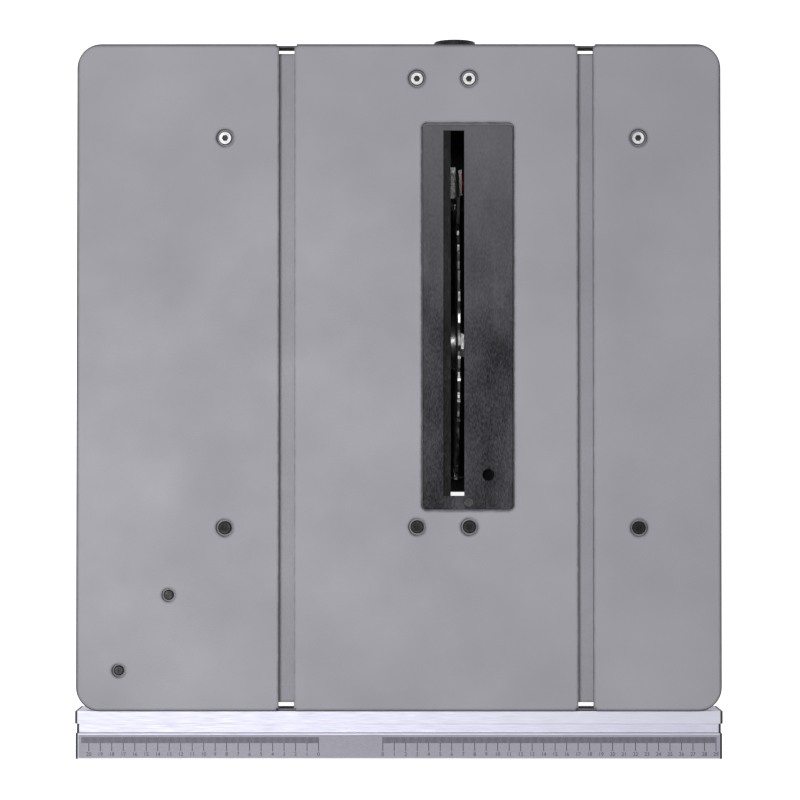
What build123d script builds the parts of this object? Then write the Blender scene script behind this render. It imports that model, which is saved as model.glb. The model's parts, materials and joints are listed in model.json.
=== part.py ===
from build123d import *
import math
import os

# Bench table saw, blade lowered. X to the right, Y to the rear, Z up, sizes in millimetres.
# The pieces are placed about the table's centre, and write() moves them to the saw's own origin.

# ---- table ----
table_width = 559.0
table_depth = 579.0
table_height = 330.0
table_corner = 21.0
web = 8.0
skirt_depth = 28.0
skirt_wall = 5.0
edge_chamfer = 0.9
rib_height = 6.0
rib_wall = 4.0
rib_lengthwise_x = (-225.0, -48.0, 128.0, 247.0)
rib_crosswise_y = (-205.0, 274.5)
rib_middle_y = 36.0

# ---- mitre grooves ----
groove_left_x = -97.5
groove_right_x = 162.0
groove_opening = 13.4
groove_undercut = 17.3
groove_lip = 4.0
groove_depth = 9.5
groove_floor = 3.5
groove_end_gap = 7.0
groove_end_bar = 1.5
groove_lip_notch = 2.7

# ---- blade, arbor and their place ----
blade_x = 52.6
blade_y = 36.0
blade_radius = 127.0
blade_body = 1.8
blade_kerf = 2.6
blade_teeth = 40
blade_bore = 15.0
blade_below_table = 7.0
lift_travel = 86.0

# ---- insert ----
insert_left = 19.6
insert_right = 100.2
insert_front = -116.2
insert_rear = 221.0
insert_gap = 1.2
insert_rear_gap = 1.8
insert_thickness = 4.8
insert_recess = 5.0
insert_ledge = 6.0
insert_front_ledge = 8.0
insert_corner = 5.0
slot_left = 38.7
slot_through_left = 45.0
slot_right = 56.8
slot_front = -103.1
slot_rear = 214.2
slot_rebate = 2.5
finger_hole_radius = 5.25
finger_hole_x = 77.6
finger_hole_y = -84.9
insert_screw_x = 60.5
insert_screw_y = -108.9

# ---- fasteners ----
running = 0.06
seated = 0.02
screw_clearance = 0.3
large_recess_radius = 7.7
large_recess_depth = 5.0
large_head_radius = 5.7
large_head_height = 4.2
large_shank_radius = 3.0
large_socket = 5.0
large_screw_length = 22.0
large_socket_depth = 2.6
small_recess_radius = 6.0
small_recess_depth = 4.0
small_head_radius = 4.4
small_head_height = 2.8
small_shank_radius = 2.2
table_screw_left_x = -151.0
table_screw_right_x = 208.0
table_screw_front_y = -130.8
table_screw_rear_y = 207.7
trunnion_screw_left_x = 15.7
trunnion_screw_right_x = 61.0
trunnion_screw_front_y = -130.0
trunnion_screw_rear_y = 259.4
bracket_screws = ((-199.5, -188.9), (-242.6, -254.2))
panel_screw_heights = (70.0, 165.0, 260.0)
panel_head_radius = 4.0
panel_head_height = 2.4
panel_screw_reach = 3.5

# ---- housing ----
housing_half_width = 262.0
housing_front = 262.0
housing_rear = 274.0
housing_corner = 34.0
panel = 4.0
panel_top_below_table = 16.0
panel_gap = 0.3
pillar_flange = 8.0
pillar_flange_top = 285.0
ring_bottom = 14.0
ring_top = 40.0
ring_width = 34.0
ring_wall = 4.0
bench_hole_radius = 4.5
bench_hole_x = 150.0
bench_hole_wall = 5.0
base_floor = 3.0
base_floor_front = -106.7
foot_radius = 20.0
foot_in = 30.0
foot_stud = 5.0
foot_stud_height = 9.0
bearer_width = 22.0
bearer_height = 30.0
bearer_wall = 3.0
bearer_end = 8.0
bearer_screw_up = 11.0
handle_length = 118.0
handle_height = 34.0
handle_z = 262.0
handle_lining = 3.5
handle_rim = 6.0
handle_stand = 3.0
handle_depth = 14.0
vent_height = 5.0
vent_pitch = 12.0
rear_vents = 5
rear_vent_length = 70.0
rear_vent_x = -130.0
rear_vent_top = 235.0
side_vents = 7
side_vent_length = 72.0
side_vent_apart = 84.0
side_vent_top = 175.0
gland_radius = 8.0
gland_bore = 4.0
gland_across = 20.0
gland_x = -190.0
gland_z = 90.0

# ---- front rail ----
rail_length = 563.0
rail_gap = 0.9
rail_cap = 2.0
rail_top = 10.5
rail_bottom = 50.0
rail_strip_1 = 10.9
rail_groove = 8.9
rail_groove_floor = 22.0
rail_strip_3 = 22.2
rail_scale_level = 14.0
rail_wall = 2.0
rail_bolt_spacing = 200.0
rail_bolt_level = 17.0
rail_bolt_head = 8.0
rail_bolt_nut = 10.0
rail_bolt_collar = 7.0
rail_bolt_access = 4.7

# ---- tilt ----
tilt_pivot_below_table = 7.0
tilt_range = 45.0
trunnion_plate = 8.0
trunnion_flange = 8.0
trunnion_outer = 100.0
trunnion_gap = 4.0
trunnion_front_y = -130.0
trunnion_rear_y = 259.0
tilt_pin_circle = 85.0
tilt_pin_radius = 6.0
tilt_pin_angles = (-135.0, -95.0)
tilt_slot_clearance = 0.3
trunnion_edge_right = -34.0
trunnion_edge_left = -148.0
trunnion_window = (-16.0, -42.0)
trunnion_window_radius = 14.0
carriage_plate = 8.0
carriage_half = 29.0
bevel_scale_radius = 158.0
bevel_scale_width = 18.0
bevel_scale_thickness = 1.5
bevel_scale_beyond = 10.0
pointer_reach = 4.0
pointer_half = 4.0

# ---- lift ----
guide_x = 2.0
guide_front_y = -40.0
guide_rear_y = 136.0
guide_radius = 7.0
guide_boss = 13.0
lead_screw_y = -76.0
lead_screw_radius = 6.0
lift_nut_radius = 10.5
nut_boss = 13.5
beam_width = 20.0
top_beam_level = 19.0
bottom_beam_level = 226.0
beam_height = 14.0
bracket_above_arbor = 12.0
bracket_below_arbor = 58.0
bracket_plate = 12.0
nut_arm_below_arbor = 16.0

# ---- crank ----
crank_below_table = 190.0
crank_radius = 5.0
shaft_tube_radius = 10.0
handwheel_radius = 62.0
handwheel_thickness = 16.0
grip_offset = 44.0
grip_radius = 11.0
grip_length = 42.0
mitre_radius = 14.0
mitre_teeth = 12
mitre_small_end = 0.68
grip_pin_radius = 4.0
lever_hub_radius = 15.0
lever_length = 92.0
lever_width = 15.0
lever_angle = 225.0

# ---- gears and motor ----
gear_module = 1.5
arbor_gear_teeth = 36
pinion_teeth = 12
gear_width = 8.0
case_top_radius = 33.0
case_low_radius = 24.0
left_bearing_radius = 14.0
right_bearing_radius = 16.0
arbor_thin_radius = 6.0
arbor_thick_radius = 9.0
inner_flange_radius = 26.0
outer_flange_radius = 20.0
outer_flange_width = 3.5
arbor_nut_across = 24.0
motor_radius = 46.0
motor_length = 123.0
motor_wall = 3.0
motor_cap_length = 27.0
motor_fan_in = 22.0
motor_core_in = 28.0
motor_ribs = 12
motor_cap_vents = 10
fan_radius = 36.0
fan_blades = 11
rotor_radius = 26.0
rotor_length = 54.0
motor_shaft_radius = 5.0

# ---- dust port ----
port_radius = 19.3
port_wall = 2.0
port_flange = 9.0
port_below_table = 175.0
port_reach = 320.5

# ---- blade shroud ----
shroud_gap = 4.5
shroud_width = 22.0
shroud_wall = 2.0
shroud_top_below_arbor = 34.0
outlet_radius = 10.0
outlet_length = 54.0
outlet_above_shroud_bottom = 27.5

# ---- riving knife ----
knife_inner = 132.5
knife_outer = 161.0
knife_thickness = 2.2
knife_top_angle = 40.0
knife_low_angle = -34.0
knife_range = 28.0
knife_clamp_angle = 2.0
knife_pad_low = -16.0
knife_pad_top = 10.0
knife_bolt_radius = 4.0

# ---- switch ----
switch_plate = 3.0
switch_plate_x0 = -264.0
switch_plate_x1 = -181.0
switch_plate_y0 = -278.0
switch_plate_y1 = -172.0
switch_plate_low = 178.0
switch_x = -214.0
switch_half = 31.0
switch_wall = 3.0
switch_z0 = 166.0
switch_z1 = 268.0
switch_back = -278.0
switch_front = -304.0
start_z = 246.0
stop_z = 200.0
start_radius = 10.0
stop_radius = 9.0
stop_head_radius = 18.0
button_clearance = 0.4

# ---- places worked out from the sizes above ----
arbor_z = table_height - blade_below_table - blade_radius
pivot_z = table_height - tilt_pivot_below_table
web_under = table_height - web
panel_top = table_height - panel_top_below_table
gear_centres = gear_module * (arbor_gear_teeth + pinion_teeth) / 2
motor_z = arbor_z - gear_centres
crank_z = table_height - crank_below_table
beam_x0 = guide_x - beam_width / 2
beam_x1 = guide_x + beam_width / 2
top_beam_z1 = table_height - top_beam_level
top_beam_z0 = top_beam_z1 - beam_height
bottom_beam_z1 = table_height - bottom_beam_level
bottom_beam_z0 = bottom_beam_z1 - beam_height
front_trunnion_y0 = trunnion_front_y - trunnion_plate / 2
front_plate_y0 = trunnion_front_y + trunnion_plate / 2 + trunnion_gap
front_plate_y1 = front_plate_y0 + carriage_plate
rear_plate_y1 = trunnion_rear_y - trunnion_plate / 2 - trunnion_gap
rear_plate_y0 = rear_plate_y1 - carriage_plate
bracket_x0 = guide_x - bracket_plate / 2
bracket_x1 = guide_x + bracket_plate / 2
front_inner = -housing_front + panel
rear_inner = housing_rear - panel
side_inner = housing_half_width - panel
corner_front_y = -housing_front + housing_corner
corner_rear_y = housing_rear - housing_corner
corner_x = housing_half_width - housing_corner
tube_front_y = -housing_front - 6.0
lever_y0 = tube_front_y - 11.0
wheel_y1 = lever_y0 - 3.0
wheel_y0 = wheel_y1 - handwheel_thickness
grip_y0 = wheel_y0 - grip_length - 2.0
saw_front = grip_y0
origin_y = (saw_front + port_reach) / 2
port_z = table_height - port_below_table
shroud_radius = blade_radius + shroud_gap
outlet_z = arbor_z - shroud_radius + outlet_above_shroud_bottom
bearer_screw_z = web_under - bearer_height + bearer_screw_up


# ---- helpers ----
def block(x0, x1, y0, y1, z0, z1):
    centre = Pos((x0 + x1) / 2, (y0 + y1) / 2, (z0 + z1) / 2)
    return centre * Box(x1 - x0, y1 - y0, z1 - z0)


def rod_x(radius, x0, x1, y, z):
    return Pos((x0 + x1) / 2, y, z) * Rot(0, 90, 0) * Cylinder(radius, x1 - x0)


def rod_y(radius, y0, y1, x, z):
    return Pos(x, (y0 + y1) / 2, z) * Rot(90, 0, 0) * Cylinder(radius, y1 - y0)


def rod_z(radius, z0, z1, x, y):
    return Pos(x, y, (z0 + z1) / 2) * Cylinder(radius, z1 - z0)


def hex_z(across, z0, z1, x, y):
    outline = RegularPolygon(across / math.sqrt(3), 6)
    return extrude(Pos(x, y, z0) * outline, amount=z1 - z0)


def hex_y(across, y0, y1, x, z):
    outline = RegularPolygon(across / math.sqrt(3), 6)
    plane = Plane(origin=(x, y1, z), x_dir=(1, 0, 0), z_dir=(0, -1, 0))
    return extrude(plane * outline, amount=y1 - y0)


def hex_x(across, x0, x1, y, z):
    outline = RegularPolygon(across / math.sqrt(3), 6)
    plane = Plane(origin=(x0, y, z), x_dir=(0, 1, 0), z_dir=(1, 0, 0))
    return extrude(plane * outline, amount=x1 - x0)


def outline_face(points):
    return make_face(Polyline(*points, close=True))


def prism_y(face, y0, y1, x=0.0, z=0.0):
    """Extrudes a face drawn in X and Z, about the point x, z, from y0 to y1."""
    plane = Plane(origin=(x, y1, z), x_dir=(1, 0, 0), z_dir=(0, -1, 0))
    return extrude(plane * face, amount=y1 - y0)


def prism_x(face, x0, x1, y=0.0, z=0.0):
    """Extrudes a face drawn in Y and Z, about the point y, z, from x0 to x1."""
    plane = Plane(origin=(x0, y, z), x_dir=(0, 1, 0), z_dir=(1, 0, 0))
    return extrude(plane * face, amount=x1 - x0)


def rounded_plate(x0, x1, y0, y1, z0, z1, corner):
    outline = RectangleRounded(x1 - x0, y1 - y0, corner)
    return extrude(Pos((x0 + x1) / 2, (y0 + y1) / 2, z0) * outline, amount=z1 - z0)


def polar(radius, angle):
    return (radius * math.cos(math.radians(angle)), radius * math.sin(math.radians(angle)))


def arc_slot(radius, start, sweep, width):
    return SlotArc(CenterArc((0, 0), radius, start, sweep), width)


def write(node, shape):
    """Moves a node's solids from the table's centre to the saw's origin and writes them."""
    moved = [Pos(0, -origin_y, 0) * solid for solid in shape.solids()]
    export_step(moved[0] if len(moved) == 1 else Compound(children=moved), f"parts/{node}.step")


def group(solids):
    return Compound(children=list(solids))


# ---- table top ----
def groove_cut(x):
    length = table_depth + 2
    top = block(x - groove_opening / 2, x + groove_opening / 2, -length / 2, length / 2,
                table_height - groove_lip - 1, table_height + 1)
    under = block(x - groove_undercut / 2, x + groove_undercut / 2, -length / 2, length / 2,
                  table_height - groove_depth, table_height - groove_lip)
    cut = top + under
    for side in (-1, 1):
        edge = side * table_depth / 2
        gap = sorted((edge - side * groove_end_gap, edge - side * groove_end_bar))
        cut += block(x - groove_undercut / 2, x + groove_undercut / 2, gap[0], gap[1],
                     table_height - skirt_depth - 1, table_height - groove_lip)
        notch = sorted((edge - side * groove_lip_notch, edge + side))
        cut += block(x - groove_undercut / 2, x + groove_undercut / 2, notch[0], notch[1],
                     table_height - groove_lip - 1, table_height + 1)
    return cut


def socket_recess(x, y):
    top = rod_z(large_recess_radius, table_height - large_recess_depth, table_height + 1, x, y)
    return top + rod_z(large_shank_radius + screw_clearance, web_under - 2, table_height, x, y)


def large_screw_places():
    places = []
    for x in (table_screw_left_x, table_screw_right_x):
        for y in (table_screw_front_y, table_screw_rear_y):
            places.append((x, y))
    return places


def trunnion_screw_places():
    places = []
    for x in (trunnion_screw_left_x, trunnion_screw_right_x):
        for y in (trunnion_screw_front_y, trunnion_screw_rear_y):
            places.append((x, y))
    return places


def table_ribs():
    """The ribs under the web, and the spaces that they leave clear."""
    half_w = table_width / 2 - skirt_wall / 2
    half_d = table_depth / 2 - skirt_wall / 2
    ribs = []
    for x in rib_lengthwise_x:
        ribs.append(block(x - rib_wall / 2, x + rib_wall / 2, -half_d, half_d,
                          web_under - rib_height, web_under + 1))
    for y in rib_crosswise_y:
        ribs.append(block(-half_w, half_w, y - rib_wall / 2, y + rib_wall / 2,
                          web_under - rib_height, web_under + 1))
    for x0, x1 in ((-half_w, rib_lengthwise_x[1]), (rib_lengthwise_x[2], half_w)):
        ribs.append(block(x0, x1, rib_middle_y - rib_wall / 2, rib_middle_y + rib_wall / 2,
                          web_under - rib_height, web_under + 1))
    keep_clear = []
    for x in (table_screw_left_x, table_screw_right_x):
        keep_clear.append(block(x - bearer_width / 2 - 1, x + bearer_width / 2 + 1,
                                -housing_front, housing_rear, 0, web_under))
    keep_clear.append(bracket_block(1.0, 0.0))
    return ribs, keep_clear


def bracket_block(margin, z0):
    """The space of the switch bracket's top plate down to z0, grown sideways by a margin."""
    return block(switch_plate_x0 - margin, switch_plate_x1 + margin,
                 switch_plate_y0 - margin, switch_plate_y1 + margin, z0, web_under)


def make_table_top():
    table = rounded_plate(-table_width / 2, table_width / 2, -table_depth / 2, table_depth / 2,
                          table_height - skirt_depth, table_height, table_corner)
    table = chamfer(table.faces().sort_by(Axis.Z)[-1].edges(), edge_chamfer)
    table -= rounded_plate(-table_width / 2 + skirt_wall, table_width / 2 - skirt_wall,
                           -table_depth / 2 + skirt_wall, table_depth / 2 - skirt_wall,
                           0, web_under, table_corner - skirt_wall)
    boss_half = groove_undercut / 2 + 3.5
    boss_under = table_height - groove_depth - groove_floor
    half_d = table_depth / 2 - skirt_wall / 2
    for x in (groove_left_x, groove_right_x):
        table += block(x - boss_half, x + boss_half, -half_d, half_d, boss_under, web_under + 1)
    ribs, keep_clear = table_ribs()
    for rib in ribs:
        for space in keep_clear:
            rib = rib - space
        table += rib
    for x in (groove_left_x, groove_right_x):
        table -= groove_cut(x)
    recess_x0, recess_x1 = insert_left, insert_right
    table -= rounded_plate(recess_x0, recess_x1, insert_front, insert_rear,
                           table_height - insert_recess, table_height + 1, insert_corner)
    opening = rounded_plate(recess_x0 + insert_ledge, recess_x1 - insert_ledge,
                            insert_front + insert_front_ledge, insert_rear - insert_ledge,
                            0, table_height, 3.0)
    table -= opening
    tab = block(insert_screw_x - 5.5, insert_screw_x + 5.5, insert_front - 1,
                insert_screw_y + 5.0, web_under, table_height - insert_recess)
    table += tab
    table -= rod_z(small_shank_radius, 0, table_height, insert_screw_x, insert_screw_y)
    for x, y in large_screw_places() + trunnion_screw_places():
        table -= socket_recess(x, y)
    for x, y in bracket_screws:
        table -= rod_z(small_recess_radius, table_height - small_recess_depth, table_height + 1, x, y)
        table -= rod_z(small_shank_radius + screw_clearance, 0, table_height, x, y)
    for x in rail_bolt_places():
        table -= rod_y(large_shank_radius + screw_clearance, -table_depth / 2 - 1,
                       -table_depth / 2 + skirt_wall + 1, x, table_height - rail_bolt_level)
    return table


# ---- insert ----
def make_table_insert():
    top = table_height - insert_recess + insert_thickness
    under = table_height - insert_recess
    plate = rounded_plate(insert_left + insert_gap, insert_right - insert_gap,
                          insert_front + insert_gap, insert_rear - insert_rear_gap,
                          under, top, insert_corner - insert_gap)
    plate = chamfer(plate.faces().sort_by(Axis.Z)[-1].edges(), 0.5)
    plate -= block(slot_left, slot_right, slot_front, slot_rear, top - slot_rebate, top + 1)
    plate -= block(slot_through_left, slot_right, slot_front, slot_rear, under - 1, top + 1)
    plate -= rod_z(finger_hole_radius, under - 1, top + 1, finger_hole_x, finger_hole_y)
    sink = Pos(insert_screw_x, insert_screw_y, top - 1.2) * Cone(small_shank_radius + 0.3, 4.5, 2.41)
    plate -= sink
    plate -= rod_z(small_shank_radius + screw_clearance, under - 1, top + 1, insert_screw_x, insert_screw_y)
    return plate


def make_insert_screw():
    top = table_height - insert_recess + insert_thickness
    head = Pos(insert_screw_x, insert_screw_y, top - 1.5) * Cone(small_shank_radius, 4.0, 2.2)
    screw = head + rod_z(small_shank_radius - 0.05, web_under - 6, top - 1.0, insert_screw_x, insert_screw_y)
    return screw - cross_recess(insert_screw_x, insert_screw_y, top - 0.4, 3.4)


def cross_recess(x, y, top, width):
    one = block(x - width / 2, x + width / 2, y - 0.5, y + 0.5, top - 1.4, top + 1)
    return one + block(x - 0.5, x + 0.5, y - width / 2, y + width / 2, top - 1.4, top + 1)


# ---- screws in the table ----
def socket_screw(x, y):
    seat = table_height - large_recess_depth
    head = rod_z(large_head_radius, seat, seat + large_head_height, x, y)
    head = chamfer(head.faces().sort_by(Axis.Z)[-1].edges(), 0.6)
    head -= hex_z(large_socket, seat + large_head_height - large_socket_depth,
                  seat + large_head_height + 1, x, y)
    return head + rod_z(large_shank_radius - 0.05, seat - large_screw_length, seat, x, y)


def make_bracket_screw(x, y):
    seat = table_height - small_recess_depth
    head = rod_z(small_head_radius, seat, seat + small_head_height, x, y)
    head = fillet(head.faces().sort_by(Axis.Z)[-1].edges(), 1.2)
    screw = head + rod_z(small_shank_radius - 0.05, web_under - 8, seat, x, y)
    return screw - cross_recess(x, y, seat + small_head_height, 4.4)


# ---- front rail ----
def rail_bolt_places():
    return (-rail_bolt_spacing, 0.0, rail_bolt_spacing)


def rail_outline():
    rear = -table_depth / 2 - rail_gap
    step = rear - rail_strip_1
    groove_end = step - rail_groove
    front = groove_end - rail_strip_3
    top = table_height - rail_top
    return ((rear, top), (step, top), (step, table_height - rail_groove_floor),
            (groove_end, table_height - rail_groove_floor),
            (groove_end, table_height - rail_scale_level),
            (front, table_height - rail_scale_level), (front, table_height - rail_bottom + 6),
            (front + 6, table_height - rail_bottom), (rear, table_height - rail_bottom))


def make_front_rail():
    half = rail_length / 2 - rail_cap
    rail = prism_x(outline_face(rail_outline()), -half, half)
    rear = -table_depth / 2 - rail_gap
    step = rear - rail_strip_1
    groove_end = step - rail_groove
    front = groove_end - rail_strip_3
    low = table_height - rail_bottom + rail_wall
    rail -= block(-half - 1, half + 1, step + rail_wall, rear - rail_wall, low,
                  table_height - rail_top - rail_wall)
    rail -= block(-half - 1, half + 1, front + rail_wall + 5, step, low,
                  table_height - rail_groove_floor - rail_wall)
    rail -= block(-half - 1, half + 1, front + rail_wall, groove_end - rail_wall,
                  low + 6, table_height - rail_scale_level - rail_wall)
    for x in rail_bolt_places():
        level = table_height - rail_bolt_level
        rail -= rod_y(large_shank_radius + screw_clearance, rear - rail_wall - 1, rear + 1, x, level)
        rail -= rod_y(rail_bolt_access, step - 1, step + rail_wall + 1, x, level)
    return rail


def make_rail_scale():
    front = rail_outline()[5][0]
    half = rail_length / 2 - rail_cap - 0.5
    level = table_height - rail_scale_level
    return block(-half, half, front + 0.9, front + rail_strip_3 - 1.2, level, level + 0.5)


def make_rail_end_caps():
    caps = []
    for side in (-1, 1):
        inner = side * (rail_length / 2 - rail_cap)
        outer = side * rail_length / 2
        low, high = sorted((inner, outer))
        caps.append(prism_x(outline_face(rail_outline()), low, high))
    return group(caps)


def rail_bolt(x):
    rear = -table_depth / 2 - rail_gap
    level = table_height - rail_bolt_level
    inside = -table_depth / 2 + skirt_wall
    head = hex_y(rail_bolt_head, rear - rail_wall - 4.0, rear - rail_wall, x, level)
    shank = rod_y(large_shank_radius - 0.05, rear - rail_wall, inside + 5.8, x, level)
    collar = rod_y(rail_bolt_collar, rear, -table_depth / 2, x, level)
    nut = hex_y(rail_bolt_nut, inside, inside + 5, x, level)
    return head + shank + collar + nut


# ---- housing ----
def ring_outline(inset, corner):
    width = 2 * (housing_half_width - inset)
    depth = housing_front + housing_rear - 2 * inset
    middle = (housing_rear - housing_front) / 2
    return Pos(0, middle) * RectangleRounded(width, depth, corner)


def bench_hole_places():
    front = -housing_front + ring_width / 2
    rear = housing_rear - ring_width / 2
    return [(x, y) for x in (-bench_hole_x, bench_hole_x) for y in (front, rear)]


def foot_places():
    xs = (-housing_half_width + foot_in, housing_half_width - foot_in)
    ys = (-housing_front + foot_in, housing_rear - foot_in)
    return [(x, y) for x in xs for y in ys]


def make_base_frame():
    """A ring that is open below, with a floor that is open at the front."""
    ring = extrude(Pos(0, 0, ring_bottom) * ring_outline(0, housing_corner), amount=ring_top - ring_bottom)
    ring -= extrude(ring_outline(ring_width, 8.0), amount=ring_top + 5)
    ring = chamfer(ring.faces().sort_by(Axis.Z)[0].outer_wire().edges(), 2.0)
    floor_x = housing_half_width - ring_width + 1
    ring += block(-floor_x, floor_x, base_floor_front, housing_rear - ring_width + 1,
                  ring_bottom, ring_bottom + base_floor)
    channel = extrude(ring_outline(ring_wall, housing_corner - ring_wall), amount=ring_top - ring_wall)
    channel -= extrude(ring_outline(ring_width - ring_wall, 8.0 + ring_wall), amount=ring_top)
    for x, y in bench_hole_places():
        channel -= rod_z(bench_hole_radius + bench_hole_wall, 0, ring_top, x, y)
    for x, y in foot_places():
        channel -= rod_z(foot_radius + 2.0, 0, ring_top, x, y)
    ring -= channel
    for x, y in bench_hole_places():
        ring -= rod_z(bench_hole_radius, 0, ring_top + 1, x, y)
    for x, y in foot_places():
        ring -= rod_z(foot_stud, 0, ring_bottom + foot_stud_height + 1, x, y)
    return ring


def make_foot(x, y):
    pad = rod_z(foot_radius, 0, ring_bottom, x, y)
    pad = chamfer(pad.faces().sort_by(Axis.Z)[0].edges(), 2.0)
    pad += rod_z(foot_stud - screw_clearance, ring_bottom, ring_bottom + foot_stud_height, x, y)
    return pad - rod_z(4.5, -1, 4.0, x, y)


def make_pillar(side_x, side_y):
    """A quarter-round corner moulding with a flange behind each panel beside it."""
    x = side_x * corner_x
    y = corner_rear_y if side_y > 0 else corner_front_y
    height = panel_top - ring_top
    wall = Circle(housing_corner) - Circle(housing_corner - 2 * panel)
    quarter = wall & (Pos(side_x * 50, side_y * 50) * Rectangle(100, 100))
    pillar = extrude(Pos(x, y, ring_top) * quarter, amount=height)
    reach = sorted((x, x - side_x * pillar_flange))
    face = y + side_y * (housing_corner - panel)
    depth = sorted((face, face - side_y * panel))
    pillar += block(reach[0], reach[1], depth[0], depth[1], ring_top, pillar_flange_top)
    reach = sorted((y, y - side_y * pillar_flange))
    face = x + side_x * (housing_corner - panel)
    depth = sorted((face, face - side_x * panel))
    pillar += block(depth[0], depth[1], reach[0], reach[1], ring_top, pillar_flange_top)
    pillar -= cross_holes(panel_screw_places_front() + panel_screw_places_rear())
    for px, py, pz in panel_screw_places_side(side_x):
        pillar -= rod_x(small_shank_radius, px - 20, px + 20, py, pz)
    return pillar


def make_front_panel():
    edge = corner_x - panel_gap
    front = block(-edge, edge, -housing_front, front_inner, ring_top, panel_top)
    slot = arc_slot(crank_circle(), crank_angle(), tilt_range, 2 * shaft_tube_radius + 4.0)
    front -= prism_y(slot, -housing_front - 1, front_inner + 1, blade_x, pivot_z)
    return front - cross_holes(panel_screw_places_front())


def panel_screw_places_front():
    places = []
    for x in (-corner_x + pillar_flange / 2, corner_x - pillar_flange / 2):
        for z in panel_screw_heights:
            places.append((x, -housing_front, z))
    for x in (table_screw_left_x, table_screw_right_x):
        places.append((x, -housing_front, bearer_screw_z))
    return places


def cross_holes(places):
    holes = []
    for x, y, z in places:
        holes.append(rod_y(small_shank_radius, y - 20, y + 20, x, z))
    return Compound(children=holes)


def panel_screw_places_rear():
    places = []
    for x, y, z in panel_screw_places_front():
        places.append((x, housing_rear, z))
    return places


def panel_screw_places_side(side):
    places = []
    for y in (corner_front_y + pillar_flange / 2, corner_rear_y - pillar_flange / 2):
        for z in panel_screw_heights:
            places.append((side * housing_half_width, y, z))
    return places


def make_rear_panel():
    edge = corner_x - panel_gap
    rear = block(-edge, edge, rear_inner, housing_rear, ring_top, panel_top)
    rear -= rod_y(port_radius + screw_clearance, rear_inner - 1, housing_rear + 1, blade_x, port_z)
    rear -= rod_y(gland_radius, rear_inner - 1, housing_rear + 1, gland_x, gland_z)
    for row in range(rear_vents):
        z = rear_vent_top - vent_pitch * row
        vent = SlotOverall(rear_vent_length, vent_height)
        rear -= prism_y(vent, rear_inner - 1, housing_rear + 1, rear_vent_x, z)
    return rear - cross_holes(panel_screw_places_rear())


def make_side_panel(side):
    inner, outer = sorted((side * side_inner, side * housing_half_width))
    y0 = corner_front_y + panel_gap
    y1 = corner_rear_y - panel_gap
    wall = block(inner, outer, y0, y1, ring_top, panel_top)
    middle = (y0 + y1) / 2
    grip = SlotOverall(handle_length, handle_height)
    wall -= prism_x(grip, inner - 1, outer + 1, middle, handle_z)
    if side < 0:
        for row in range(side_vents):
            for column in (-1, 1):
                y = middle + side_vent_apart / 2 * column
                vent = SlotOverall(side_vent_length, vent_height)
                wall -= prism_x(vent, inner - 1, outer + 1, y, side_vent_top - vent_pitch * row)
    for x, y, z in panel_screw_places_side(side):
        wall -= rod_x(small_shank_radius, x - 20, x + 20, y, z)
    return wall


def make_carry_handle(side):
    """A rounded rim that lines the grip opening and stands a little out of the side panel."""
    middle = (corner_front_y + corner_rear_y) / 2
    outer = side * (housing_half_width + handle_stand)
    inner = side * (side_inner - handle_depth)
    x0, x1 = sorted((inner, outer))
    hole = SlotOverall(handle_length - 2 * handle_lining, handle_height - 2 * handle_lining)
    lip = SlotOverall(handle_length + 2 * handle_rim, handle_height + 2 * handle_rim)
    rim = prism_x(SlotOverall(handle_length, handle_height), x0, x1, middle, handle_z)
    lip_x = sorted((side * housing_half_width, outer))
    rim += prism_x(lip, lip_x[0], lip_x[1], middle, handle_z)
    rim -= prism_x(hole, x0 - 1, x1 + 1, middle, handle_z)
    return rim


def panel_screw_y(x, y, z, inward):
    """A dome-headed screw through a front or rear panel; inward is +1 or -1 along Y."""
    head = sorted((y, y - inward * panel_head_height))
    solid = rod_y(panel_head_radius, head[0], head[1], x, z)
    shank = sorted((y, y + inward * (panel + panel_screw_reach)))
    return solid + rod_y(small_shank_radius - 0.05, shank[0], shank[1], x, z)


def panel_screw_x(x, y, z, inward):
    """A dome-headed screw through a side panel; inward is +1 or -1 along X."""
    head = sorted((x, x - inward * panel_head_height))
    solid = rod_x(panel_head_radius, head[0], head[1], y, z)
    shank = sorted((x, x + inward * (panel + panel_screw_reach)))
    return solid + rod_x(small_shank_radius - 0.05, shank[0], shank[1], y, z)


def make_panel_screws():
    screws = []
    for x, y, z in panel_screw_places_front():
        screws.append(panel_screw_y(x, y, z, 1))
    for x, y, z in panel_screw_places_rear():
        screws.append(panel_screw_y(x, y, z, -1))
    for side in (-1, 1):
        for x, y, z in panel_screw_places_side(side):
            screws.append(panel_screw_x(x, y, z, -side))
    return group(screws)


def make_bearer(x):
    bearer = block(x - bearer_width / 2, x + bearer_width / 2, front_inner, rear_inner,
                   web_under - bearer_height, web_under)
    bearer -= block(x - bearer_width / 2 + bearer_wall, x + bearer_width / 2 - bearer_wall,
                    front_inner + bearer_end, rear_inner - bearer_end,
                    web_under - bearer_height - 1, web_under - bearer_wall)
    for y in (table_screw_front_y, table_screw_rear_y):
        boss = block(x - bearer_width / 2, x + bearer_width / 2, y - 9, y + 9,
                     web_under - bearer_height, web_under)
        bearer += boss
        bearer -= rod_z(large_shank_radius, 0, web_under + 1, x, y)
    for y in (front_inner, rear_inner):
        bearer -= rod_y(small_shank_radius, y - 5, y + 5, x, bearer_screw_z)
    return bearer


# ---- trunnions ----
def trunnion_slot(extra):
    first = min(tilt_pin_angles)
    last = max(tilt_pin_angles) + tilt_range
    width = 2 * (tilt_pin_radius + extra)
    return arc_slot(tilt_pin_circle, first, last - first, width)


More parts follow.
